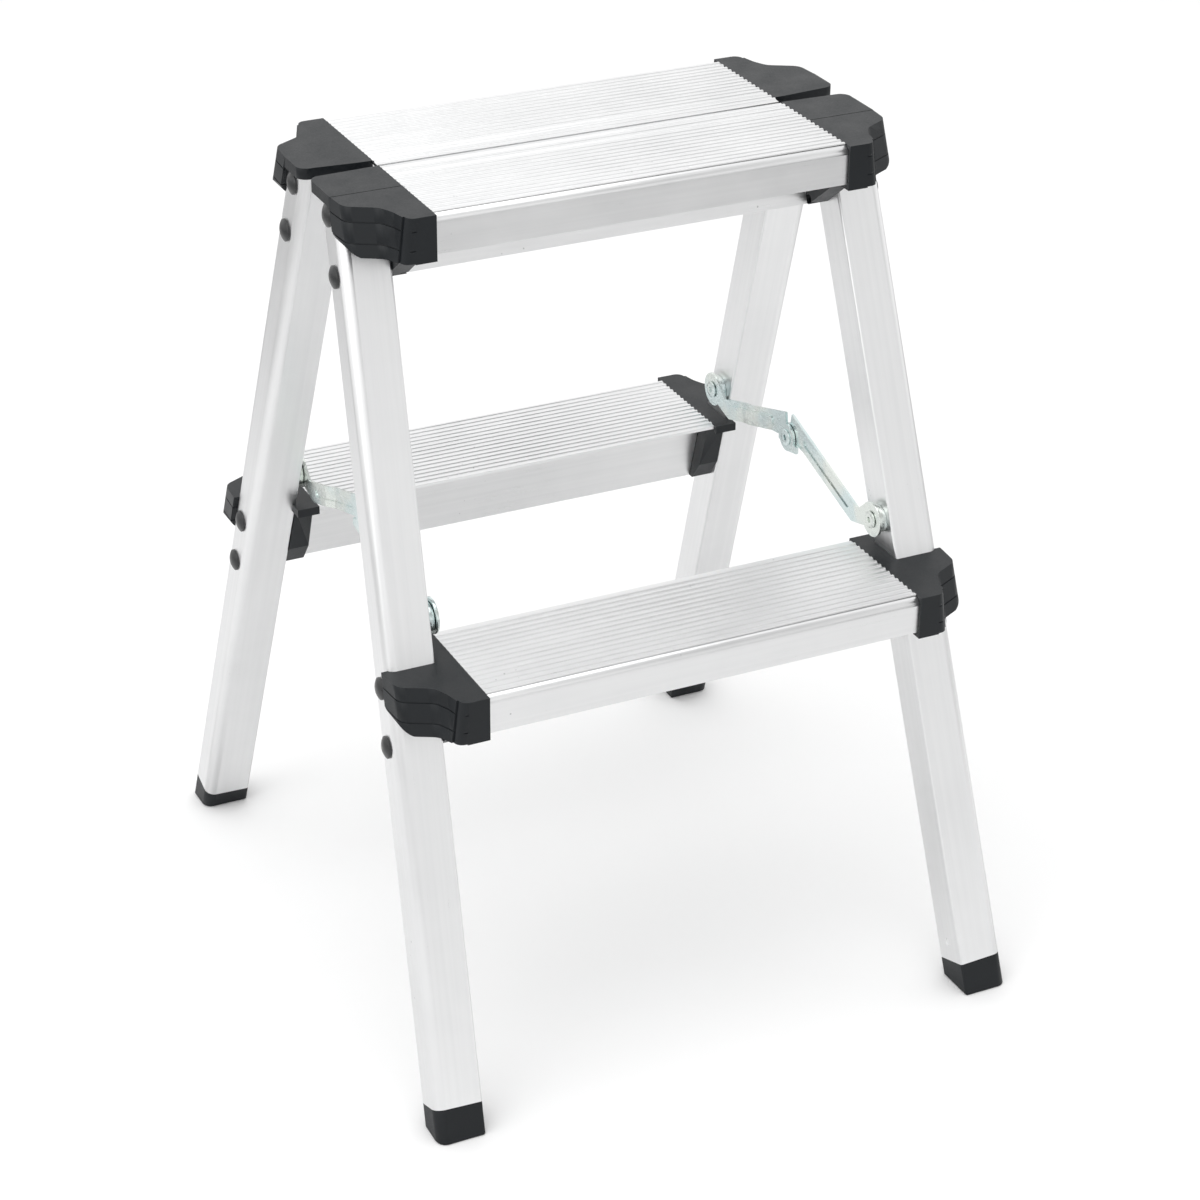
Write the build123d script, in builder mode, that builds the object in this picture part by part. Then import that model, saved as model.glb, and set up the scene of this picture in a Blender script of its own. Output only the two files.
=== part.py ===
from build123d import *
import math
import os

# Folding two-step stool: two ladder frames that lean on each other and hinge
# under the platform, held open by a jointed steel brace on each side.
# Millimetres. +X is the user's right, -Y is the front, +Z is up, and the origin
# is on the floor under the middle of the platform.
# Every corner piece is modelled for the front right corner and mirrored.

# ---- Driving dimensions -------------------------------------------------
STOOL_HEIGHT = 450.0        # floor to the top of the platform ribs
LOWER_STEP_HEIGHT = 230.5   # floor to the top of the lower step ribs

# Legs: rectangular tubes that lean in two directions
LEG_SPLAY = 0.349           # run towards the front per unit of drop
LEG_SPREAD = 0.045          # run towards the side per unit of drop
LEG_FLOOR_X = 166.85        # outer side face at the floor
LEG_FLOOR_Y = 188.15        # front face at the floor
LEG_WIDTH = 25.6
LEG_DEPTH = 21.9
LEG_WALL = 1.4
LEG_OUTER_RADIUS = 5.5
LEG_INNER_RADIUS = 1.2
FOOT_CENTRE_HEIGHT = 13.8   # top of the foot, measured on the leg's axis

# Steps: one extrusion with a front skirt and a deeper web set back under it
TOP_STEP_LENGTH = 223.2
LOWER_STEP_LENGTH = 241.2
STEP_DEPTH = 70.8
STEP_THICKNESS = 1.8
STEP_EDGE_RADIUS = 4.5
SKIRT_HEIGHT = 21.0
WEB_DROP = 44.8             # tread's top to the foot of the web
WEB_TOP_SETBACK = 51.5      # front edge to the web, under the plate
WEB_FOOT_SETBACK = 39.0     # front edge to the web, at its foot
WEB_WIDTH = 1.9             # the web's thickness, measured level
RIB_COUNT = 15
RIB_PITCH = 4.45
RIB_HEIGHT = 0.7
RIB_BASE = 2.5
RIB_TOP = 1.3
PLATFORM_HALF_GAP = 1.0     # from the middle plane to each half of the platform
LOWER_STEP_INNER_Y = 78.4   # from the middle plane to the lower step

# End caps
CAP_RECESS = 0.3            # the cap's top lies this far under the rib tops
CAP_HEIGHT = 23.5
CAP_FRONT_PROUD = 1.8       # the cap stands this far in front of the step
CAP_SIDE_PROUD = 2.4        # the cap stands this far outside the leg
CAP_PLATE = 5.8             # plate over the end of the leg
GROOVE_WIDTH = 0.6
GROOVE_DEPTH = 0.45
BAND_HEIGHTS = (6.6, 9.0, 6.1)   # the three bands between the grooves
BLOCK_DROP = 44.8           # tread's top to the foot of the cap's end block
TONGUE_LENGTH = 8.0
TONGUE_REACH = 45.0         # front edge of the step to the back of the tongue
FIT_GAP = 0.2

# Rivets through the legs
RIVET_HEAD_RADIUS = 5.8
RIVET_HEAD_HEIGHT = 2.8
RIVET_SHANK_RADIUS = 2.4
RIVET_LENGTH = 33.0
RIVET_DROPS = (12.9, 40.9)  # below each tread's top

# Hinge between the two frames
HINGE_HEIGHT = 417.0
LUG_RADIUS = 7.0
LUG_ROOT = 8.0
HINGE_PIN_RADIUS = 3.0
RUNNING_GAP = 0.06
FRONT_LUG_X = (112.0, 116.3)
REAR_LUG_X = (116.7, 121.0)

# Braces
PIVOT_Y = 90.4
PIVOT_HEIGHT = 247.0
MIDDLE_HEIGHT = 256.0
ARM_THICKNESS = 1.5
ARM_GAP = 0.3
SPACER_FACE_X = 126.6       # middle plane to the spacers between legs and arms
SPACER_RADIUS = 7.6
EAR_RADIUS = 9.5
MIDDLE_EAR_RADIUS = 7.8
EYELET_RADIUS = 2.9
EYELET_HEAD_RADIUS = 4.6
EYELET_BORE_RADIUS = 1.6
EYELET_HEAD = 1.1
EYELET_CHAMFER = 0.4

# ---- Values worked out from the driving dimensions ------------------------
LEG_DEPTH_FLAT = LEG_DEPTH * math.hypot(1, LEG_SPLAY)
LEG_LENGTH = STOOL_HEIGHT + LOWER_STEP_HEIGHT   # longer than the legs before they are cut
LEG_AXIS = Vector(-LEG_SPREAD, LEG_SPLAY, 1).normalized()
LEG_SIDE = LEG_AXIS.cross(Vector(0, -1, LEG_SPLAY)).normalized()
LEG_TOP = STOOL_HEIGHT - CAP_RECESS - CAP_PLATE
PLATFORM_FRONT_Y = PLATFORM_HALF_GAP + STEP_DEPTH
LOWER_STEP_FRONT_Y = LOWER_STEP_INNER_Y + STEP_DEPTH
ARM_OUTER_X = SPACER_FACE_X - ARM_GAP
ARM_INNER_X = ARM_OUTER_X - ARM_THICKNESS
CROSS_OUTER_X = ARM_INNER_X - ARM_GAP
CROSS_INNER_X = CROSS_OUTER_X - ARM_THICKNESS


def leg_x(height):
    """Distance from the middle plane to the leg's outer side face."""
    return LEG_FLOOR_X - LEG_SPREAD * height


def leg_y(height):
    """Distance from the middle plane to the leg's front face."""
    return LEG_FLOOR_Y - LEG_SPLAY * height


def leg_middle(height):
    """The point on the leg's axis at a height."""
    return Vector(leg_x(height) - LEG_WIDTH / 2, LEG_DEPTH_FLAT / 2 - leg_y(height), height)


def leg_plane(height):
    """A plane square across the leg."""
    return Plane(origin=leg_middle(height), x_dir=LEG_SIDE, z_dir=LEG_AXIS)


def rivet_plane(height):
    """A plane on the leg's outer side face, looking outwards."""
    start = leg_middle(height) + LEG_SIDE * (LEG_WIDTH / 2)
    return Plane(origin=start, x_dir=LEG_AXIS, z_dir=LEG_SIDE)


def rivet_heights(step_height):
    return [step_height - drop for drop in RIVET_DROPS]


ALL_RIVET_HEIGHTS = rivet_heights(STOOL_HEIGHT) + rivet_heights(LOWER_STEP_HEIGHT)


def leg_section(inset):
    """The tube's section, drawn smaller by inset on every side."""
    with BuildSketch() as section:
        Rectangle(LEG_WIDTH - 2 * inset, LEG_DEPTH - 2 * inset)
        fillet(section.vertices().group_by(Axis.X)[-1], LEG_OUTER_RADIUS - inset)
        fillet(section.vertices().group_by(Axis.X)[0], LEG_INNER_RADIUS)
    return section.sketch


def write(piece, name):
    """Label a finished piece and write it to its own STEP file."""
    piece.label = name
    export_step(piece, os.path.join("parts", name + ".step"))


def write_corners(piece, name, corners=("front_right", "front_left", "rear_right", "rear_left")):
    """Write a front right piece and its mirrored copies."""
    for corner in corners:
        with BuildPart() as copy:
            if corner == "front_right":
                add(piece)
            elif corner == "front_left":
                mirror(piece, about=Plane.YZ)
            elif corner == "rear_right":
                mirror(piece, about=Plane.XZ)
            else:
                add(piece.rotate(Axis.Z, 180))
        write(copy.part, name.format(corner))


os.makedirs("parts", exist_ok=True)

# ---- Legs -----------------------------------------------------------------
DIMPLE_RADIUS = 2.4
DIMPLE_DEPTH = 0.6
DIMPLE_HEIGHT = 24.0


def dimple_plane():
    """The shallow dimple punched in the leg's inner side face, over the foot."""
    start = leg_middle(DIMPLE_HEIGHT) - LEG_SIDE * (LEG_WIDTH / 2)
    return Plane(origin=start, x_dir=LEG_AXIS, z_dir=-LEG_SIDE)


with BuildPart() as leg:
    with BuildSketch(leg_plane(0)):
        add(leg_section(0))
        add(leg_section(LEG_WALL), mode=Mode.SUBTRACT)
    extrude(amount=LEG_LENGTH)
    split(bisect_by=leg_plane(FOOT_CENTRE_HEIGHT), keep=Keep.TOP)
    split(bisect_by=Plane.XY.offset(LEG_TOP), keep=Keep.BOTTOM)
    with Locations([rivet_plane(height) for height in ALL_RIVET_HEIGHTS]):
        Cylinder(RIVET_SHANK_RADIUS + RUNNING_GAP, 3 * LEG_WIDTH, mode=Mode.SUBTRACT)
    with BuildSketch(Plane.YZ.offset(SPACER_FACE_X)):
        with Locations((-PIVOT_Y, PIVOT_HEIGHT)):
            Circle(EYELET_RADIUS + RUNNING_GAP)
    extrude(amount=LEG_WIDTH / 2, mode=Mode.SUBTRACT)
    with Locations(dimple_plane()):
        Cylinder(DIMPLE_RADIUS, 2 * DIMPLE_DEPTH, mode=Mode.SUBTRACT)

write_corners(leg.part, "{}_leg")

# ---- Feet -------------------------------------------------------------------
FOOT_PLUG_LENGTH = 20.0
FOOT_EDGE = 0.8

with BuildPart() as foot:
    with BuildSketch(leg_plane(0)):
        add(leg_section(0))
    extrude(amount=LEG_WIDTH, both=True)
    split(bisect_by=leg_plane(FOOT_CENTRE_HEIGHT), keep=Keep.BOTTOM)
    split(bisect_by=Plane.XY, keep=Keep.TOP)
    chamfer(foot.faces().sort_by(Axis.Z)[0].edges(), FOOT_EDGE)
    with BuildSketch(leg_plane(FOOT_CENTRE_HEIGHT)):
        add(leg_section(LEG_WALL + FIT_GAP))
    extrude(amount=FOOT_PLUG_LENGTH)

write_corners(foot.part, "{}_foot")


# ---- Steps --------------------------------------------------------------------
def step_outline(top, front_y):
    """The extrusion's section in Y and Z, with its front edge at front_y."""
    plate = top - RIB_HEIGHT
    under = plate - STEP_THICKNESS
    skirt = top - SKIRT_HEIGHT
    inner_y = front_y + STEP_THICKNESS
    web_y = front_y + WEB_TOP_SETBACK
    web_foot_y = front_y + WEB_FOOT_SETBACK
    web_foot = top - WEB_DROP
    with BuildSketch() as section:
        with BuildLine():
            Polyline(
                (front_y + STEP_DEPTH, plate),
                (front_y, plate),
                (front_y, skirt),
                (inner_y, skirt),
                (inner_y, under),
                (web_y, under),
                (web_foot_y, web_foot),
                (web_foot_y + WEB_WIDTH, web_foot),
                (web_y + WEB_WIDTH, under),
                (front_y + STEP_DEPTH, under),
                close=True,
            )
        make_face()
        outer = section.vertices().sort_by_distance((front_y, plate))[0]
        fillet(outer, STEP_EDGE_RADIUS)
        inner = section.vertices().sort_by_distance((inner_y, under))[0]
        fillet(inner, STEP_EDGE_RADIUS - STEP_THICKNESS)
        rib_angle = math.degrees(math.atan2(RIB_HEIGHT, (RIB_BASE - RIB_TOP) / 2))
        with Locations((front_y + STEP_DEPTH / 2, plate + RIB_HEIGHT / 2)):
            with GridLocations(RIB_PITCH, 1, RIB_COUNT, 1):
                Trapezoid(RIB_BASE, RIB_HEIGHT, rib_angle)
    return section.sketch


def build_step(length, top, front_y):
    with BuildPart() as step:
        with BuildSketch(Plane.YZ.offset(-length / 2)):
            add(step_outline(top, front_y))
        extrude(amount=length)
    return step.part


platform_half = build_step(TOP_STEP_LENGTH, STOOL_HEIGHT, -PLATFORM_FRONT_Y)
lower_step = build_step(LOWER_STEP_LENGTH, LOWER_STEP_HEIGHT, -LOWER_STEP_FRONT_Y)
for piece, name in ((platform_half, "{}_platform_half"), (lower_step, "{}_lower_step")):
    write(piece, name.format("front"))
    with BuildPart() as rear_copy:
        mirror(piece, about=Plane.XZ)
    write(rear_copy.part, name.format("rear"))

# ---- End caps -------------------------------------------------------------------
LEAN = Vector(LEG_SPREAD, -LEG_SPLAY, -1)
NOSE_WIDTH = 14.8
NOSE_DEPTH = 12.0
NOSE_TAPER = 2.6
NOSE_EXTRA = 20.0           # the plan runs on this far before the front is cut
HIP_X = 21.0
HIP_Y = 20.0
HIP_RADIUS = 9.0
WING_Y = 28.5
WING_IN = 1.2
WING_RADIUS = 7.5
LOW_CORNER_RADIUS = 10.0
NOSE_CORNER_RADIUS = 4.5
WRAP = 2.2                  # the block reaches this far round the leg
BLOCK_CHIN = (10.5, 23.8)   # where the end block's slanted face starts: setback and drop
BLOCK_TOE = 37.8            # setback of the slanted face at the foot
BLOCK_HEEL = 4.8            # the foot stops this far short of the leg's back face
BLOCK_HEEL_DROP = 33.2


def shoulder_outline(end_x, front_y, side_x, back_y, inset):
    """Plan of the block in front of the leg, with the step's end at end_x."""
    neck = (end_x + NOSE_WIDTH + NOSE_TAPER, -front_y + NOSE_DEPTH)
    hip = (end_x + HIP_X, -front_y + HIP_Y)
    wing = (side_x - WING_IN, -front_y + WING_Y)
    with BuildSketch() as plan:
        with BuildLine():
            Polyline(
                (end_x, -front_y - NOSE_EXTRA),
                (end_x + NOSE_WIDTH, -front_y - NOSE_EXTRA),
                (end_x + NOSE_WIDTH, -front_y),
                neck,
                hip,
                wing,
                (side_x, -back_y),
                (end_x, -back_y),
                close=True,
            )
        make_face()
        for corner, radius in ((neck, HIP_RADIUS), (hip, HIP_RADIUS), (wing, WING_RADIUS)):
            fillet(plan.vertices().sort_by_distance(corner)[0], radius)
        if inset:
            offset(amount=-inset, kind=Kind.INTERSECTION)
    return plan.sketch


def shoulder_band(start, outline, height, front_y):
    """One level slice of the front block, with its upright front face."""
    with BuildPart() as band:
        with BuildSketch(Plane(origin=start)):
            add(outline)
        extrude(amount=height * LEAN.length, dir=LEAN)
        split(bisect_by=Plane(origin=(0, -front_y, 0), z_dir=(0, 1, 0)), keep=Keep.TOP)
    return band.part


def low_corner(top, side_x):
    """What the rounding of the front block's lower outer corner takes away."""
    low = top - CAP_HEIGHT
    low_x = side_x + LEG_SPREAD * CAP_HEIGHT
    with BuildPart() as waste:
        with BuildSketch(Plane.XZ):
            with Locations((low_x - LOW_CORNER_RADIUS, low + LOW_CORNER_RADIUS)):
                Rectangle(2 * LOW_CORNER_RADIUS, 2 * LOW_CORNER_RADIUS, align=(Align.MIN, Align.MAX))
                Circle(LOW_CORNER_RADIUS, mode=Mode.SUBTRACT)
        extrude(amount=STOOL_HEIGHT, both=True)
    return waste.part


def nose_corner(top, end_x, front_y):
    """What the rounding of the nose's upright outer corner takes away."""
    run = LEG_SPREAD + LEG_SPLAY * NOSE_TAPER / NOSE_DEPTH
    with BuildPart() as waste:
        with BuildSketch(Plane.XY.offset(top)):
            with Locations((end_x + NOSE_WIDTH - NOSE_CORNER_RADIUS, NOSE_CORNER_RADIUS - front_y)):
                Rectangle(2 * NOSE_CORNER_RADIUS, 2 * NOSE_CORNER_RADIUS, align=(Align.MIN, Align.MAX))
                Circle(NOSE_CORNER_RADIUS, mode=Mode.SUBTRACT)
        extrude(amount=2 * CAP_HEIGHT, dir=(run, 0, -1))
    return waste.part


def shoulder(top, end_x, front_y, side_x):
    """The front block: three bands with a groove between each two."""
    back_y = leg_y(top) - WRAP
    heights = (BAND_HEIGHTS[0], GROOVE_WIDTH, BAND_HEIGHTS[1], GROOVE_WIDTH, BAND_HEIGHTS[2])
    insets = (0, GROOVE_DEPTH, 0, GROOVE_DEPTH, 0)
    with BuildPart() as block:
        drop = 0.0
        for height, inset in zip(heights, insets):
            start = (LEAN.X * drop, LEAN.Y * drop, top - drop)
            outline = shoulder_outline(end_x, front_y, side_x, back_y, inset)
            add(shoulder_band(start, outline, height, front_y - inset))
            drop = drop + height
        add(low_corner(top, side_x), mode=Mode.SUBTRACT)
        add(nose_corner(top, end_x, front_y), mode=Mode.SUBTRACT)
    return block.part


def leg_envelope():
    """The leg's outer shape as one solid, used to cut the caps to the leg."""
    with BuildPart() as envelope:
        with BuildSketch(leg_plane(0)):
            add(leg_section(0))
        extrude(amount=LEG_LENGTH)
        split(bisect_by=Plane.XY.offset(LEG_TOP), keep=Keep.BOTTOM)
    return envelope.part


LEG_ENVELOPE = leg_envelope()
INNER_FACE = Plane(origin=leg_middle(0) - LEG_SIDE * (LEG_WIDTH / 2), x_dir=LEG_AXIS, z_dir=-LEG_SIDE)


def leg_back_y(height):
    """Y of the leg's face towards the middle of the stool."""
    return LEG_DEPTH_FLAT - leg_y(height)


def end_block(top, end_x, step_front_y):
    """The block between the step's end and the leg, with a slanted lower front."""
    cap_z = top - CAP_RECESS
    low = top - BLOCK_DROP
    heel = top - BLOCK_HEEL_DROP
    front = -step_front_y - CAP_FRONT_PROUD
    with BuildPart() as block:
        with BuildSketch(Plane.YZ.offset(end_x)):
            with BuildLine():
                Polyline(
                    (front, cap_z),
                    (front, cap_z - CAP_HEIGHT),
                    (-step_front_y + BLOCK_CHIN[0], top - BLOCK_CHIN[1]),
                    (-step_front_y + BLOCK_TOE, low),
                    (leg_back_y(low) - BLOCK_HEEL, low),
                    (leg_back_y(heel), heel),
                    (leg_back_y(cap_z), cap_z),
                    close=True,
                )
            make_face()
        extrude(amount=LEG_WIDTH)
        split(bisect_by=INNER_FACE, keep=Keep.TOP)
    return block.part


def rivet_holes(step_height):
    """Cylinders along the leg's two rivets at one step, to cut their holes."""
    with BuildPart() as holes:
        with Locations([rivet_plane(height) for height in rivet_heights(step_height)]):
            Cylinder(RIVET_SHANK_RADIUS + RUNNING_GAP, 3 * LEG_WIDTH)
    return holes.part


def tongue(top, end_x, step_front_y):
    """The block that plugs into the end of the extrusion, between skirt and web."""
    first_y = STEP_THICKNESS + FIT_GAP - step_front_y
    plug_top = top - RIB_HEIGHT - STEP_THICKNESS - FIT_GAP
    height = plug_top - (top - SKIRT_HEIGHT) - FIT_GAP
    with BuildPart() as plug:
        with Locations((end_x, first_y, plug_top)):
            Box(TONGUE_LENGTH, TONGUE_REACH - step_front_y - first_y, height,
                align=(Align.MAX, Align.MIN, Align.MAX))
        fillet(plug.edges().filter_by(Axis.X).group_by(Axis.Z)[-1], STEP_EDGE_RADIUS - STEP_THICKNESS)
    return plug.part


def cap_body(top, end_x, step_front_y, side_x):
    """What a top and a lower cap share, before the leg is cut out of it."""
    with BuildPart() as body:
        add(shoulder(top - CAP_RECESS, end_x, step_front_y + CAP_FRONT_PROUD, side_x))
        add(end_block(top, end_x, step_front_y))
        add(tongue(top, end_x, step_front_y))
    return body.part


# ---- Top end caps ---------------------------------------------------------------
TOP_END_X = TOP_STEP_LENGTH / 2
TOP_CAP_Z = STOOL_HEIGHT - CAP_RECESS
TOP_SIDE_X = leg_x(STOOL_HEIGHT) + CAP_SIDE_PROUD
FRONT_PLATE_EDGE = ((TOP_END_X, -1.2), (TOP_SIDE_X, -2.5))
REAR_PLATE_EDGE = ((TOP_END_X, -6.6), (TOP_END_X + 6.1, -6.6), (TOP_SIDE_X, -9.6))
PLATE_CORNER_RADIUS = 5.5
SEAM_WIDTH = 0.5
SEAM_DEPTH = 0.25

top_body = cap_body(STOOL_HEIGHT, TOP_END_X, PLATFORM_FRONT_Y, TOP_SIDE_X)


def cap_plate(edge):
    """The plate over the end of the leg, with its edge towards the middle."""
    front = -leg_y(TOP_CAP_Z)
    with BuildPart() as cover:
        with BuildSketch(Plane.XY.offset(TOP_CAP_Z)) as plate:
            with BuildLine():
                Polyline(*edge, (TOP_SIDE_X, front), (TOP_END_X, front), close=True)
            make_face()
            fillet(plate.vertices().sort_by_distance(edge[-1])[0], PLATE_CORNER_RADIUS)
        extrude(amount=-CAP_PLATE)
    return cover.part


def hinge_lug(lug_x, bore_radius):
    """The ear that reaches from a top cap's end block to the hinge axis."""
    root_y = leg_back_y(HINGE_HEIGHT) - LUG_ROOT
    with BuildPart() as lug:
        with BuildSketch(Plane.YZ.offset(lug_x[0])):
            with Locations((0, HINGE_HEIGHT)):
                Circle(LUG_RADIUS)
            with Locations((root_y, HINGE_HEIGHT)):
                Rectangle(-root_y, 2 * LUG_RADIUS, align=(Align.MIN, Align.CENTER))
            with Locations((0, HINGE_HEIGHT)):
                Circle(bore_radius, mode=Mode.SUBTRACT)
        extrude(amount=lug_x[1] - lug_x[0])
    return lug.part


def top_cap(edge, lug_x, bore_radius):
    with BuildPart() as cap:
        add(top_body)
        add(cap_plate(edge))
        add(LEG_ENVELOPE, mode=Mode.SUBTRACT)
        add(rivet_holes(STOOL_HEIGHT), mode=Mode.SUBTRACT)
        add(hinge_lug(lug_x, bore_radius))
    return cap.part


with BuildPart() as front_top_cap:
    add(top_cap(FRONT_PLATE_EDGE, FRONT_LUG_X, HINGE_PIN_RADIUS))
    with Locations((TOP_END_X, -leg_y(TOP_CAP_Z), TOP_CAP_Z)):
        Box(2 * LEG_WIDTH, SEAM_WIDTH, 2 * SEAM_DEPTH, align=(Align.MIN, Align.CENTER, Align.CENTER),
            mode=Mode.SUBTRACT)

write_corners(front_top_cap.part, "{}_top_cap", ("front_right", "front_left"))
write_corners(top_cap(REAR_PLATE_EDGE, REAR_LUG_X, HINGE_PIN_RADIUS + RUNNING_GAP), "{}_top_cap",
              ("rear_right", "rear_left"))

# ---- Lower end caps -------------------------------------------------------------
LOWER_END_X = LOWER_STEP_LENGTH / 2
LOWER_CAP_Z = LOWER_STEP_HEIGHT - CAP_RECESS
LOWER_SIDE_X = leg_x(LOWER_STEP_HEIGHT) + CAP_SIDE_PROUD
LEDGE_WIDTH = 12.4
LEDGE_THICKNESS = 4.5
LEDGE_START_Y = 76.4

with BuildPart() as lower_cap:
    add(cap_body(LOWER_STEP_HEIGHT, LOWER_END_X, LOWER_STEP_FRONT_Y, LOWER_SIDE_X))
    # the ledge beside the leg, towards the middle of the stool
    with Locations((LOWER_END_X, -LEDGE_START_Y, LOWER_CAP_Z)):
        Box(LEDGE_WIDTH, LEG_DEPTH_FLAT, LEDGE_THICKNESS, align=(Align.MIN, Align.MAX, Align.MAX))
    add(LEG_ENVELOPE, mode=Mode.SUBTRACT)
    add(rivet_holes(LOWER_STEP_HEIGHT), mode=Mode.SUBTRACT)

write_corners(lower_cap.part, "{}_lower_cap")

# ---- Rivets through the legs ------------------------------------------------------
DOME_EDGE = 0.9

with BuildPart() as rivet:
    with BuildSketch(Plane.XZ):
        with BuildLine():
            rim = (RIVET_HEAD_RADIUS, DOME_EDGE)
            crown = (0, RIVET_HEAD_HEIGHT)
            Polyline(crown, (0, -RIVET_LENGTH), (RIVET_SHANK_RADIUS, -RIVET_LENGTH),
                     (RIVET_SHANK_RADIUS, 0), (RIVET_HEAD_RADIUS, 0), rim)
            TangentArc(crown, rim, tangent=(1, 0))
        make_face()
    revolve(axis=Axis.Z)

with BuildPart() as leg_rivets:
    with Locations([rivet_plane(height) for height in ALL_RIVET_HEIGHTS]):
        add(rivet.part)

write_corners(leg_rivets.part, "{}_leg_rivets")

# ---- Hinge pins under the platform --------------------------------------------------
PIN_HEAD_RADIUS = 5.0
PIN_HEAD = 1.5
PIN_CHAMFER = 0.5
PIN_TAIL = 1.0


def turned(height, y, outline):
    """Revolve an outline of (x, radius) points about a cross axis at y and height."""
    with BuildPart() as piece:
        with BuildSketch(Plane(origin=(0, y, height), x_dir=(1, 0, 0), z_dir=(0, -1, 0))):
            with BuildLine():
                Polyline(*outline, close=True)
            make_face()
        revolve(axis=Axis((0, y, height), (1, 0, 0)))
    return piece.part


pin_start = FRONT_LUG_X[0] - RUNNING_GAP
pin_head_x = pin_start - PIN_HEAD
pin_end = REAR_LUG_X[1] + ARM_GAP
hinge_pin = turned(HINGE_HEIGHT, 0, (
    (pin_head_x, 0),
    (pin_head_x, PIN_HEAD_RADIUS - PIN_CHAMFER),
    (pin_head_x + PIN_CHAMFER, PIN_HEAD_RADIUS),
    (pin_start, PIN_HEAD_RADIUS),
    (pin_start, HINGE_PIN_RADIUS),
    (pin_end, HINGE_PIN_RADIUS),
    (pin_end, PIN_HEAD_RADIUS - PIN_CHAMFER),
    (pin_end + PIN_TAIL, PIN_HEAD_RADIUS - PIN_CHAMFER),
    (pin_end + PIN_TAIL, 0),
))


def write_sides(piece, name):
    """Write a right side piece and its mirrored left copy."""
    write(piece, name.format("right"))
    with BuildPart() as copy:
        mirror(piece, about=Plane.YZ)
    write(copy.part, name.format("left"))


write_sides(hinge_pin, "{}_hinge_pin")

# ---- Braces -------------------------------------------------------------------------
BODY_TOP = ((76.0, 246.8), (2.0, 270.2))
BODY_LOW = ((70.0, 236.8), (16.0, 253.5))
EAR_NECK = ((83.0, 240.2), (82.5, 252.4))
STOP_TAB = ((0.0, 248.2), (-11.5, 250.6), (-11.5, 254.4))
BODY_NOTCH = 2.5
BEAD = ((65.0, 244.3), (18.0, 259.0))
BEAD_WIDTH = 5.3
BEAD_GROOVE_WIDTH = 3.8
BEAD_HEIGHT = 0.65
JOGGLE = (52.0, 42.0)
JOGGLE_SHIFT = 0.3          # keeps the slanted part of the strip at full thickness
MIDDLE_RADIUS = 2.6


def arm_profile(side):
    """Side view of an arm: a leg ear, a raised body and a middle ear with its stop tab."""
    def place(points):
        return [(side * point[0], point[1]) for point in points]

    with BuildSketch() as profile:
        with Locations((side * PIVOT_Y, PIVOT_HEIGHT)):
            Circle(EAR_RADIUS)
        with Locations((0, MIDDLE_HEIGHT)):
            Circle(MIDDLE_EAR_RADIUS)
        with BuildLine():
            Polyline(*place((BODY_TOP[0], BODY_TOP[1], (BODY_TOP[1][0] - BODY_NOTCH, MIDDLE_HEIGHT), BODY_LOW[1],
                             BODY_LOW[0])), close=True)
        make_face()
        with BuildLine():
            Polyline(*place(((PIVOT_Y, PIVOT_HEIGHT), EAR_NECK[0], BODY_LOW[0], BODY_TOP[0], EAR_NECK[1])),
                     close=True)
        make_face()
        with BuildLine():
            Polyline(*place(((0, MIDDLE_HEIGHT),) + STOP_TAB), close=True)
        make_face()
        with Locations((side * PIVOT_Y, PIVOT_HEIGHT)):
            Circle(EYELET_RADIUS + RUNNING_GAP, mode=Mode.SUBTRACT)
        with Locations((0, MIDDLE_HEIGHT)):
            Circle(MIDDLE_RADIUS + RUNNING_GAP, mode=Mode.SUBTRACT)
    return profile.sketch


def bead_profile(side, width):
    """The long rounded bead pressed into the body."""
    start = Vector(side * BEAD[0][0], BEAD[0][1])
    end = Vector(side * BEAD[1][0], BEAD[1][1])
    middle = (start + end) * 0.5
    angle = math.degrees(math.atan2(end.Y - start.Y, end.X - start.X))
    with BuildSketch() as profile:
        with Locations((middle.X, middle.Y)):
            SlotOverall((end - start).length + width, width, rotation=angle)
    return profile.sketch


with BuildPart() as front_arm:
    with BuildSketch(Plane.YZ.offset(ARM_INNER_X)):
        add(arm_profile(-1))
    extrude(amount=ARM_THICKNESS)
    with BuildSketch(Plane.YZ.offset(ARM_OUTER_X)):
        add(bead_profile(-1, BEAD_WIDTH))
    extrude(amount=BEAD_HEIGHT)
    with BuildSketch(Plane.YZ.offset(ARM_INNER_X)):
        add(bead_profile(-1, BEAD_GROOVE_WIDTH))
    extrude(amount=BEAD_HEIGHT, mode=Mode.SUBTRACT)

write_sides(front_arm.part, "{}_front_arm")


def joggled_band(first_x):
    """A strip seen from above that steps over from the leg's layer to the crossing layer."""
    step = ARM_INNER_X - CROSS_INNER_X
    reach = 3 * EAR_RADIUS
    with BuildPart() as band:
        with BuildSketch(Plane.XY.offset(PIVOT_HEIGHT - reach)):
            with BuildLine():
                Polyline(
                    (first_x, PIVOT_Y + reach),
                    (first_x, JOGGLE[0] + JOGGLE_SHIFT),
                    (first_x - step, JOGGLE[1] + JOGGLE_SHIFT),
                    (first_x - step, -reach),
                    (first_x - step + ARM_THICKNESS, -reach),
                    (first_x - step + ARM_THICKNESS, JOGGLE[1] - JOGGLE_SHIFT),
                    (first_x + ARM_THICKNESS, JOGGLE[0] - JOGGLE_SHIFT),
                    (first_x + ARM_THICKNESS, PIVOT_Y + reach),
                    close=True,
                )
            make_face()
        extrude(amount=3 * reach)
    return band.part


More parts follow.
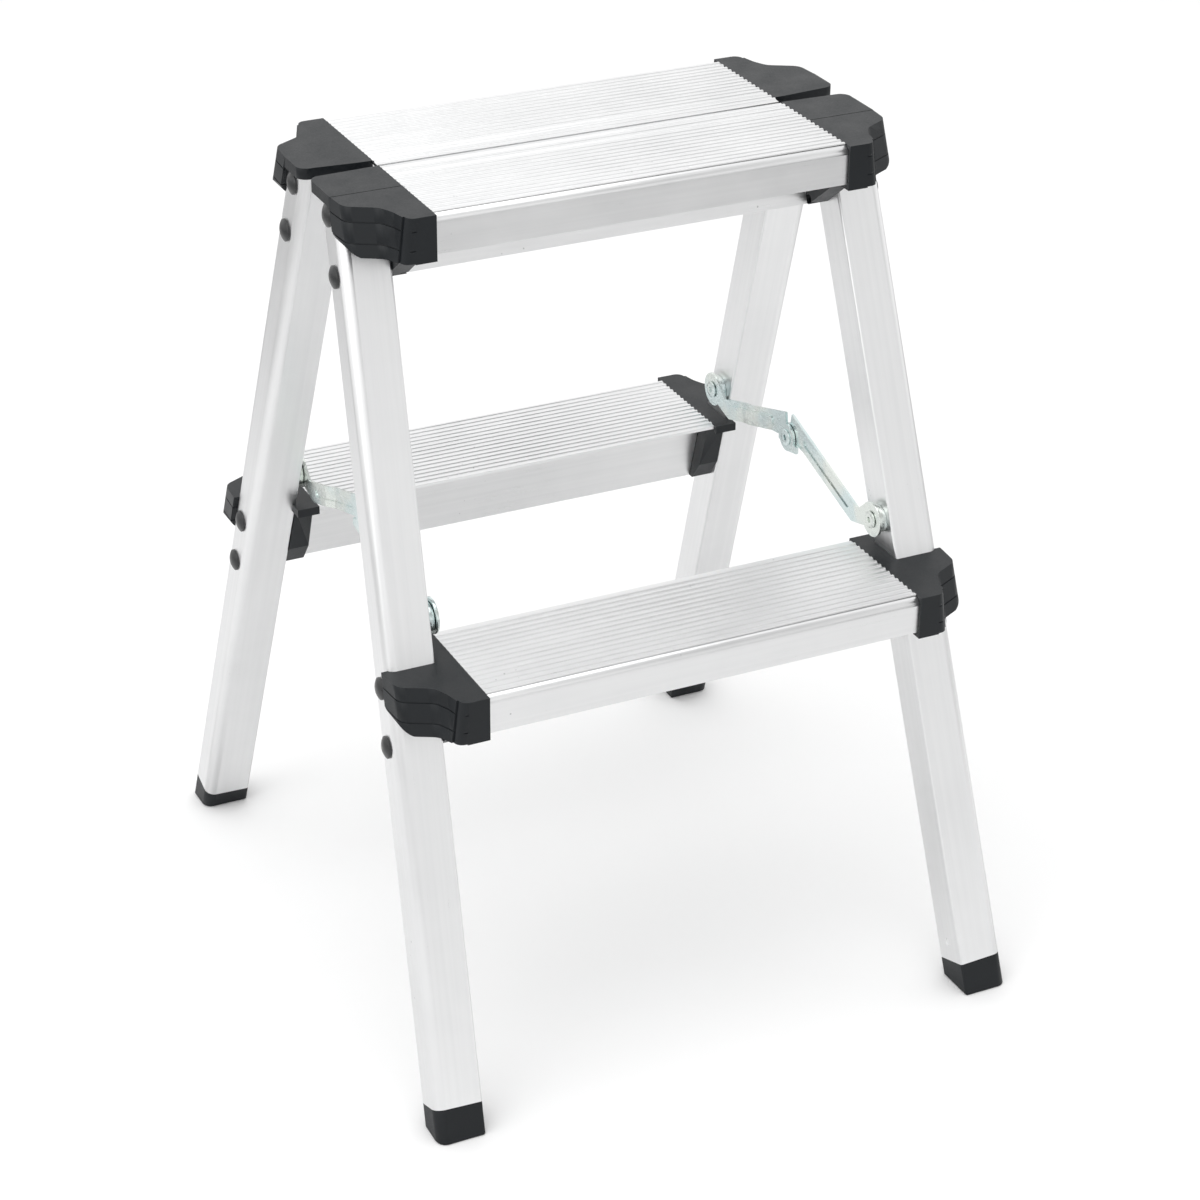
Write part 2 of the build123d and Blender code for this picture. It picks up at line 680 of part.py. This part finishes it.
def joggled(profile, first_x):
    """A side view cut out of the stepped strip that starts at first_x."""
    with BuildPart() as piece:
        with BuildSketch(Plane.YZ.offset(CROSS_INNER_X - 2 * ARM_THICKNESS)):
            add(profile)
        extrude(amount=LEG_WIDTH / 2)
        add(joggled_band(first_x), mode=Mode.INTERSECT)
    return piece.part


with BuildPart() as rear_arm:
    add(joggled(arm_profile(1), ARM_INNER_X))
    add(joggled(bead_profile(1, BEAD_WIDTH), ARM_INNER_X - BEAD_HEIGHT))
    add(joggled(bead_profile(1, BEAD_GROOVE_WIDTH), ARM_OUTER_X - BEAD_HEIGHT), mode=Mode.SUBTRACT)

write_sides(rear_arm.part, "{}_rear_arm")

# ---- Brace rivets and spacers --------------------------------------------------------
EYELET_STEP = 0.66          # the rounded edge of an eyelet's head
ARM_RIVET_BORE = 4.0
TAIL_GAP = 0.5
TAIL_HEAD = 0.8


def eyelet_head(face_x, shank_radius):
    """The flared head of an eyelet rivet that sits on a face at face_x."""
    return (
        (face_x - EYELET_HEAD, EYELET_BORE_RADIUS),
        (face_x - EYELET_HEAD, shank_radius + EYELET_CHAMFER),
        (face_x - EYELET_STEP, EYELET_HEAD_RADIUS),
        (face_x, EYELET_HEAD_RADIUS),
        (face_x, shank_radius),
    )


head_x = ARM_INNER_X - ARM_GAP
tail_x = leg_x(PIVOT_HEIGHT) - LEG_WIDTH + LEG_WALL + TAIL_GAP
tail_radius = EYELET_HEAD_RADIUS - EYELET_CHAMFER
arm_rivet = turned(PIVOT_HEIGHT, -PIVOT_Y, eyelet_head(head_x, EYELET_RADIUS) + (
    (tail_x, EYELET_RADIUS),
    (tail_x, tail_radius),
    (tail_x + TAIL_HEAD, tail_radius),
    (tail_x + TAIL_HEAD, 0),
    (head_x + ARM_RIVET_BORE, 0),
    (head_x + ARM_RIVET_BORE, EYELET_BORE_RADIUS),
))
write_corners(arm_rivet, "{}_arm_rivet")

with BuildPart() as arm_spacer:
    with BuildSketch(Plane.YZ.offset(SPACER_FACE_X)):
        with Locations((-PIVOT_Y, PIVOT_HEIGHT)):
            Circle(SPACER_RADIUS)
            Circle(EYELET_RADIUS + RUNNING_GAP, mode=Mode.SUBTRACT)
    extrude(amount=LEG_WIDTH / 2)
    split(bisect_by=INNER_FACE, keep=Keep.TOP)

write_corners(arm_spacer.part, "{}_arm_spacer")

middle_rivet_head = turned(MIDDLE_HEIGHT, 0, eyelet_head(CROSS_INNER_X, MIDDLE_RADIUS) + (
    (CROSS_OUTER_X, MIDDLE_RADIUS),
    (CROSS_OUTER_X, EYELET_BORE_RADIUS),
))
middle_rivet_tail = turned(MIDDLE_HEIGHT, 0, (
    (ARM_INNER_X, EYELET_BORE_RADIUS),
    (ARM_INNER_X, MIDDLE_RADIUS),
    (ARM_OUTER_X, MIDDLE_RADIUS),
    (ARM_OUTER_X, tail_radius),
    (ARM_OUTER_X + TAIL_HEAD, tail_radius),
    (ARM_OUTER_X + TAIL_HEAD, EYELET_BORE_RADIUS),
))
write_sides(middle_rivet_head, "{}_middle_rivet_head")
write_sides(middle_rivet_tail, "{}_middle_rivet_tail")
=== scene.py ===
import math
import bpy
from mathutils import Matrix, Vector


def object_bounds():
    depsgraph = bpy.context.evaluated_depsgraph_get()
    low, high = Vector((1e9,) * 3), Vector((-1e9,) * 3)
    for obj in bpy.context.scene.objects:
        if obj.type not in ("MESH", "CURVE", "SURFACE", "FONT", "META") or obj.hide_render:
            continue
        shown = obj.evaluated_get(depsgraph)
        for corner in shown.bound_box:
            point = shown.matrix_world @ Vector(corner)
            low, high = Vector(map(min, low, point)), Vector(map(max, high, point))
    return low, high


# The looks of a folding aluminium step stool. Metres, in the CAD frame:
# +X to the user's right, -Y to the front, +Z up, origin on the floor.

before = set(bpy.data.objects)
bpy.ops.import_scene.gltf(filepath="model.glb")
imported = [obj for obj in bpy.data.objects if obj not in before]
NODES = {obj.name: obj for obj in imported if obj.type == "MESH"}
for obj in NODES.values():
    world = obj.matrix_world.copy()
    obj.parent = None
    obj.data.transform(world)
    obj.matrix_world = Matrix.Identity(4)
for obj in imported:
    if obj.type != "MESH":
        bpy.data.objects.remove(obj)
CAD_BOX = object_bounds()
HEIGHT = CAD_BOX[1][2] - CAD_BOX[0][2]

# ---- Materials: small helpers ------------------------------------------------


class Tree:
    """A material's node tree, with one short call for each kind of node."""

    def __init__(self, material):
        material.use_nodes = True
        self.tree = material.node_tree
        self.tree.nodes.clear()
        self.out = self.tree.nodes.new("ShaderNodeOutputMaterial")

    def link(self, source, target):
        self.tree.links.new(source, target)

    def put(self, socket, value):
        if isinstance(value, bpy.types.NodeSocket):
            self.link(value, socket)
        else:
            socket.default_value = value

    def coordinates(self):
        return self.tree.nodes.new("ShaderNodeTexCoord").outputs["Object"]

    def vector(self, operation, first, second=None):
        node = self.tree.nodes.new("ShaderNodeVectorMath")
        node.operation = operation
        self.put(node.inputs[0], first)
        if second is not None:
            self.put(node.inputs[1], second)
        return node.outputs["Value" if operation in ("LENGTH", "DOT_PRODUCT") else "Vector"]

    def math(self, operation, first, second=0.0):
        node = self.tree.nodes.new("ShaderNodeMath")
        node.operation = operation
        self.put(node.inputs[0], first)
        self.put(node.inputs[1], second)
        return node.outputs[0]

    def noise(self, vector, scale, detail=2.0, roughness=0.5):
        node = self.tree.nodes.new("ShaderNodeTexNoise")
        node.inputs["Scale"].default_value = scale
        node.inputs["Detail"].default_value = detail
        node.inputs["Roughness"].default_value = roughness
        self.put(node.inputs["Vector"], vector)
        return node.outputs["Fac"]

    def voronoi(self, vector, scale):
        node = self.tree.nodes.new("ShaderNodeTexVoronoi")
        node.inputs["Scale"].default_value = scale
        self.put(node.inputs["Vector"], vector)
        return node.outputs["Distance"]

    def spread(self, value, low, high, to_low, to_high, smooth=False):
        node = self.tree.nodes.new("ShaderNodeMapRange")
        node.interpolation_type = "SMOOTHSTEP" if smooth else "LINEAR"
        self.put(node.inputs["Value"], value)
        node.inputs["From Min"].default_value = low
        node.inputs["From Max"].default_value = high
        node.inputs["To Min"].default_value = to_low
        node.inputs["To Max"].default_value = to_high
        return node.outputs["Result"]

    def mix(self, factor, first, second):
        node = self.tree.nodes.new("ShaderNodeMix")
        node.data_type = "RGBA"
        self.put(node.inputs["Factor"], factor)
        self.put(node.inputs["A"], first)
        self.put(node.inputs["B"], second)
        return node.outputs["Result"]

    def bump(self, height, distance, strength=1.0, under=None):
        node = self.tree.nodes.new("ShaderNodeBump")
        node.inputs["Strength"].default_value = strength
        node.inputs["Distance"].default_value = distance
        self.put(node.inputs["Height"], height)
        if under is not None:
            self.link(under, node.inputs["Normal"])
        return node.outputs["Normal"]

    def principled(self, **values):
        shader = self.tree.nodes.new("ShaderNodeBsdfPrincipled")
        for name, value in values.items():
            self.put(shader.inputs[name.replace("_", " ")], value)
        self.link(shader.outputs[0], self.out.inputs["Surface"])
        return shader


def grey(level, blue=0.0):
    return (level - blue, level, level + blue, 1.0)


def mirrored_coordinates(tree, slope_x, slope_y):
    """Coordinates that run straight along each leg, on any of the four corners."""
    place = tree.coordinates()
    split = tree.tree.nodes.new("ShaderNodeSeparateXYZ")
    tree.link(place, split.inputs[0])
    join = tree.tree.nodes.new("ShaderNodeCombineXYZ")
    for axis, slope in ((0, slope_x), (1, slope_y)):
        out = tree.math("ABSOLUTE", split.outputs[axis])
        lean = tree.math("MULTIPLY", split.outputs[2], slope)
        corner = tree.math("MULTIPLY", tree.math("SIGN", split.outputs[axis]), HEIGHT * (axis + 3))
        tree.link(tree.math("ADD", tree.math("ADD", out, lean), corner), join.inputs[axis])
    tree.link(split.outputs[2], join.inputs[2])
    return join.outputs[0]


LEG_SLOPES = (0.045, 0.349)     # how far a leg runs sideways and forwards per unit of drop


def aluminium(name, along, brightness, roughness):
    """Satin extruded aluminium with fine grain running along one direction."""
    material = bpy.data.materials.new(name)
    tree = Tree(material)
    if along == "leg":
        place = mirrored_coordinates(tree, *LEG_SLOPES)
        grain_at = tree.vector("MULTIPLY", place, (1.0, 1.0, 0.012))
    else:
        place = tree.coordinates()
        grain_at = tree.vector("MULTIPLY", place, (0.012, 1.0, 1.0))
    grain = tree.noise(grain_at, 2600.0, 3.0, 0.6)
    lines = tree.noise(grain_at, 420.0, 2.0, 0.5)
    cloud = tree.noise(place, 22.0, 3.0, 0.55)
    pits = tree.voronoi(place, 190.0)
    where = tree.noise(place, 14.0, 2.0)
    speck = tree.math("MULTIPLY", tree.spread(pits, 0.05, 0.12, 1.0, 0.0, True),
                      tree.spread(where, 0.56, 0.66, 0.0, 1.0, True))
    shade = tree.math("MULTIPLY", tree.spread(cloud, 0.3, 0.7, 0.96, 1.03),
                      tree.spread(lines, 0.3, 0.7, 0.965, 1.02))
    bright = tree.mix(tree.spread(shade, 0.9, 1.05, 0.0, 1.0),
                      grey(brightness * 0.90, 0.004), grey(brightness, 0.002))
    colour = tree.mix(tree.math("MULTIPLY", speck, 0.55), bright, grey(0.32))
    rough = tree.math("ADD", tree.spread(grain, 0.25, 0.75, -0.07, 0.07),
                      tree.spread(cloud, 0.3, 0.7, roughness - 0.03, roughness + 0.03))
    normal = tree.bump(grain, 0.00002, 0.5)
    normal = tree.bump(lines, 0.00004, 0.35, normal)
    normal = tree.bump(tree.math("SUBTRACT", 1.0, speck), 0.0001, 0.4, normal)
    tree.principled(Base_Color=colour, Metallic=1.0, Roughness=rough, Normal=normal)
    return material


def moulded(name, level, roughness, texture, gloss):
    """Black moulded plastic with a fine spark-eroded texture and a painted mottled sheen."""
    material = bpy.data.materials.new(name)
    tree = Tree(material)
    place = tree.coordinates()
    grain = tree.noise(place, texture, 3.0, 0.6)
    cloud = tree.noise(place, 60.0, 3.0, 0.6)
    scuff = tree.noise(tree.vector("MULTIPLY", place, (1.0, 0.25, 1.0)), 260.0, 4.0, 0.7)
    worn = tree.spread(scuff, 0.60, 0.74, 0.0, 0.35, True)
    # painted sheen: the large soft cloud lifts the black towards a lighter grey in patches, standing in for
    # a mottled sheen; the same cloud also varies the roughness
    tone_and_painted_sheen = tree.mix(tree.spread(cloud, 0.3, 0.7, 0.0, 1.0), grey(level, level * 0.28),
                    grey(level * 1.35, level * 0.36))
    colour = tree.mix(worn, tone_and_painted_sheen, grey(level * 2.6, level * 0.5))
    rough = tree.math("ADD", tree.spread(grain, 0.3, 0.7, -0.05, 0.05),
                      tree.spread(cloud, 0.3, 0.7, roughness - 0.05, roughness + 0.05))
    normal = tree.bump(grain, 0.00006, 0.45)
    tree.principled(Base_Color=colour, Roughness=rough, Normal=normal, Specular_IOR_Level=gloss)
    return material


def zinc(name):
    """Bright zinc plate on steel, with the faint blue and green of its passivation."""
    material = bpy.data.materials.new(name)
    tree = Tree(material)
    place = tree.coordinates()
    cloud = tree.noise(place, 85.0, 3.0, 0.6)
    tint = tree.noise(place, 38.0, 2.0, 0.5)
    grain = tree.noise(tree.vector("MULTIPLY", place, (1.0, 0.08, 0.5)), 2400.0, 2.0, 0.5)
    colour = tree.mix(tree.spread(tint, 0.4, 0.6, 0.0, 1.0, True), (0.70, 0.80, 0.80, 1.0),
                      (0.80, 0.84, 0.80, 1.0))
    colour = tree.mix(tree.spread(cloud, 0.55, 0.75, 0.0, 0.5, True), colour, (0.50, 0.58, 0.58, 1.0))
    rough = tree.math("ADD", tree.spread(grain, 0.3, 0.7, -0.06, 0.06),
                      tree.spread(cloud, 0.3, 0.7, 0.20, 0.32))
    normal = tree.bump(grain, 0.00002, 0.3)
    tree.principled(Base_Color=colour, Metallic=1.0, Roughness=rough, Normal=normal)
    return material


def painted_rivet(name):
    """Black lacquered rivet heads, rubbed a little in patches."""
    material = bpy.data.materials.new(name)
    tree = Tree(material)
    place = tree.coordinates()
    cloud = tree.noise(place, 320.0, 3.0, 0.6)
    rubbed = tree.spread(cloud, 0.52, 0.75, 0.0, 0.6, True)
    colour = tree.mix(rubbed, grey(0.018, 0.001), grey(0.055, 0.003))
    rough = tree.spread(cloud, 0.3, 0.7, 0.26, 0.42)
    tree.principled(Base_Color=colour, Roughness=rough, Normal=tree.bump(cloud, 0.00006, 0.35),
                    Coat_Weight=0.25, Coat_Roughness=0.25)
    return material


LOOKS = {
    "leg": aluminium("leg_aluminium", "leg", 0.93, 0.36),
    "step": aluminium("step_aluminium", "step", 0.90, 0.34),
    "cap": moulded("cap_plastic", 0.0070, 0.42, 1500.0, 0.36),
    "foot": moulded("foot_plastic", 0.0060, 0.42, 1100.0, 0.34),
    "rivets": painted_rivet("rivet_lacquer"),
    "brace": zinc("zinc_plate"),
}
LOOK_OF_NODE = (
    ("_leg_rivets", "rivets"),
    ("_leg", "leg"),
    ("_platform_half", "step"),
    ("_lower_step", "step"),
    ("_cap", "cap"),
    ("_foot", "foot"),
)

# ---- Soft edges -----------------------------------------------------------------
WELD_REACH = 0.000005
SHARP_ANGLE = math.radians(32)
EDGE_WIDTH = {
    "leg": 0.0002,
    "step": 0.0002,
    "cap": 0.0006,
    "foot": 0.0005,
    "rivets": 0.0002,
    "brace": 0.00025,
}

for node_name, piece in NODES.items():
    look = next((look for ending, look in LOOK_OF_NODE if node_name.endswith(ending)), "brace")
    piece.material_slots[0].material = LOOKS[look]
    weld = piece.modifiers.new("weld", "WELD")
    weld.merge_threshold = WELD_REACH
    bevel = piece.modifiers.new("soft_edges", "BEVEL")
    bevel.width = EDGE_WIDTH[look]
    bevel.segments = 2
    bevel.limit_method = "ANGLE"
    bevel.angle_limit = SHARP_ANGLE
    bevel.harden_normals = True
    bevel.use_clamp_overlap = True

# ---- Camera -----------------------------------------------------------------------
CAMERA_PLACE = Vector((-0.64888, -1.36254, 0.99628))
CAMERA_YAW = math.radians(-25.84)
CAMERA_PITCH = math.radians(-28.32)
CAMERA_ROLL = math.radians(0.479)
CAMERA_LENS = 94.9

flat_run = math.cos(CAMERA_PITCH)
forward = Vector((-math.sin(CAMERA_YAW) * flat_run, math.cos(CAMERA_YAW) * flat_run, math.sin(CAMERA_PITCH)))
level = Vector((math.cos(CAMERA_YAW), math.sin(CAMERA_YAW), 0))
upright = level.cross(forward)
across = level * math.cos(CAMERA_ROLL) + upright * math.sin(CAMERA_ROLL)
rise = upright * math.cos(CAMERA_ROLL) - level * math.sin(CAMERA_ROLL)
camera_data = bpy.data.cameras.new("camera")
camera_data.lens = CAMERA_LENS
camera_data.sensor_width = 36.0
camera = bpy.data.objects.new("camera", camera_data)
turn = Matrix((across, rise, -forward)).transposed().to_4x4()
camera.matrix_world = Matrix.Translation(CAMERA_PLACE) @ turn
bpy.context.scene.collection.objects.link(camera)
bpy.context.scene.camera = camera

# ---- Floor --------------------------------------------------------------------------
FLOOR_HALF = 14 * HEIGHT
FLOOR_SEEN = 0.985
FLOOR_NEAR_BOUNCE_SHADE = 0.82           # painted shade: the floor as the stool reflects it close to its feet, darker than the camera sees it
FLOOR_FAR_BOUNCE_SHADE = 0.48            # and further out, darker still: painted fall-off of the light
NEAR_REACH = 1.3 * HEIGHT
FAR_REACH = 3.0 * HEIGHT


def floor_material():
    material = bpy.data.materials.new("floor_white")
    tree = Tree(material)
    place = tree.coordinates()
    cloud = tree.noise(place, 2.0, 2.0)
    seen = tree.mix(cloud, grey(FLOOR_SEEN), grey(FLOOR_SEEN + 0.01))
    reach = tree.vector("LENGTH", place)
    # painted shade: in bounced and reflected light the floor darkens from near the feet to further out,
    # standing in for the light falling off; camera rays see it evenly white
    painted_shade_falloff = tree.spread(reach, NEAR_REACH, FAR_REACH, 0.0, 1.0, True)
    bounced_painted_shade = tree.mix(painted_shade_falloff, grey(FLOOR_NEAR_BOUNCE_SHADE), grey(FLOOR_FAR_BOUNCE_SHADE))
    path = tree.tree.nodes.new("ShaderNodeLightPath")
    colour = tree.mix(path.outputs["Is Camera Ray"], bounced_painted_shade, seen)
    tree.principled(Base_Color=colour, Roughness=0.7, Specular_IOR_Level=0.1)
    return material


floor_mesh = bpy.data.meshes.new("floor")
corners = [(x * FLOOR_HALF, y * FLOOR_HALF, 0) for x, y in ((-1, -1), (1, -1), (1, 1), (-1, 1))]
floor_mesh.from_pydata(corners, [], [(0, 1, 2, 3)])
floor = bpy.data.objects.new("floor", floor_mesh)
floor.data.materials.append(floor_material())
bpy.context.scene.collection.objects.link(floor)

# ---- Light ----------------------------------------------------------------------------
SKY_SEEN = 1.0              # the plain white backdrop behind the stool
SKY_ROUND = 1.03            # the studio all round
SKY_FRONT = 0.55            # the darker part, high up in front
DARK_WAY = (0.38, -0.59, 0.71)
DARK_RIM = 0.72             # cosine of the angle at which the darker part begins

world = bpy.data.worlds.new("studio")
bpy.context.scene.world = world
world.use_nodes = True
sky = world.node_tree
background = sky.nodes["Background"]
way = sky.nodes.new("ShaderNodeTexCoord")
nearness = sky.nodes.new("ShaderNodeVectorMath")
nearness.operation = "DOT_PRODUCT"
nearness.inputs[1].default_value = DARK_WAY
sky.links.new(way.outputs["Generated"], nearness.inputs[0])
shade = sky.nodes.new("ShaderNodeMapRange")
shade.interpolation_type = "SMOOTHSTEP"
shade.inputs["From Min"].default_value = DARK_RIM
shade.inputs["From Max"].default_value = 1.0
shade.inputs["To Min"].default_value = SKY_ROUND
shade.inputs["To Max"].default_value = SKY_FRONT
sky.links.new(nearness.outputs["Value"], shade.inputs["Value"])
path = sky.nodes.new("ShaderNodeLightPath")
pick = sky.nodes.new("ShaderNodeMix")
sky.links.new(path.outputs["Is Camera Ray"], pick.inputs["Factor"])
sky.links.new(shade.outputs["Result"], pick.inputs["A"])
pick.inputs["B"].default_value = SKY_SEEN
background.inputs["Color"].default_value = (1.0, 1.0, 1.0, 1.0)
sky.links.new(pick.outputs["Result"], background.inputs["Strength"])


def softbox(name, azimuth, elevation, distance, size, power):
    """A square area light that faces the middle of the stool."""
    data = bpy.data.lights.new(name, "AREA")
    data.shape = "SQUARE"
    data.size = size
    data.energy = power
    light = bpy.data.objects.new(name, data)
    aim = Vector((0, 0, HEIGHT / 2))
    way = Vector((math.sin(azimuth) * math.cos(elevation), -math.cos(azimuth) * math.cos(elevation),
                  math.sin(elevation)))
    light.location = aim + way * distance
    light.rotation_euler = way.to_track_quat("Z", "Y").to_euler()
    bpy.context.scene.collection.objects.link(light)


softbox("overhead", math.radians(-20), math.radians(80), 1.9, 1.7, 9.0)
softbox("left_front", math.radians(-75), math.radians(35), 2.2, 1.4, 6.0)

bpy.context.scene.view_settings.view_transform = "Standard"
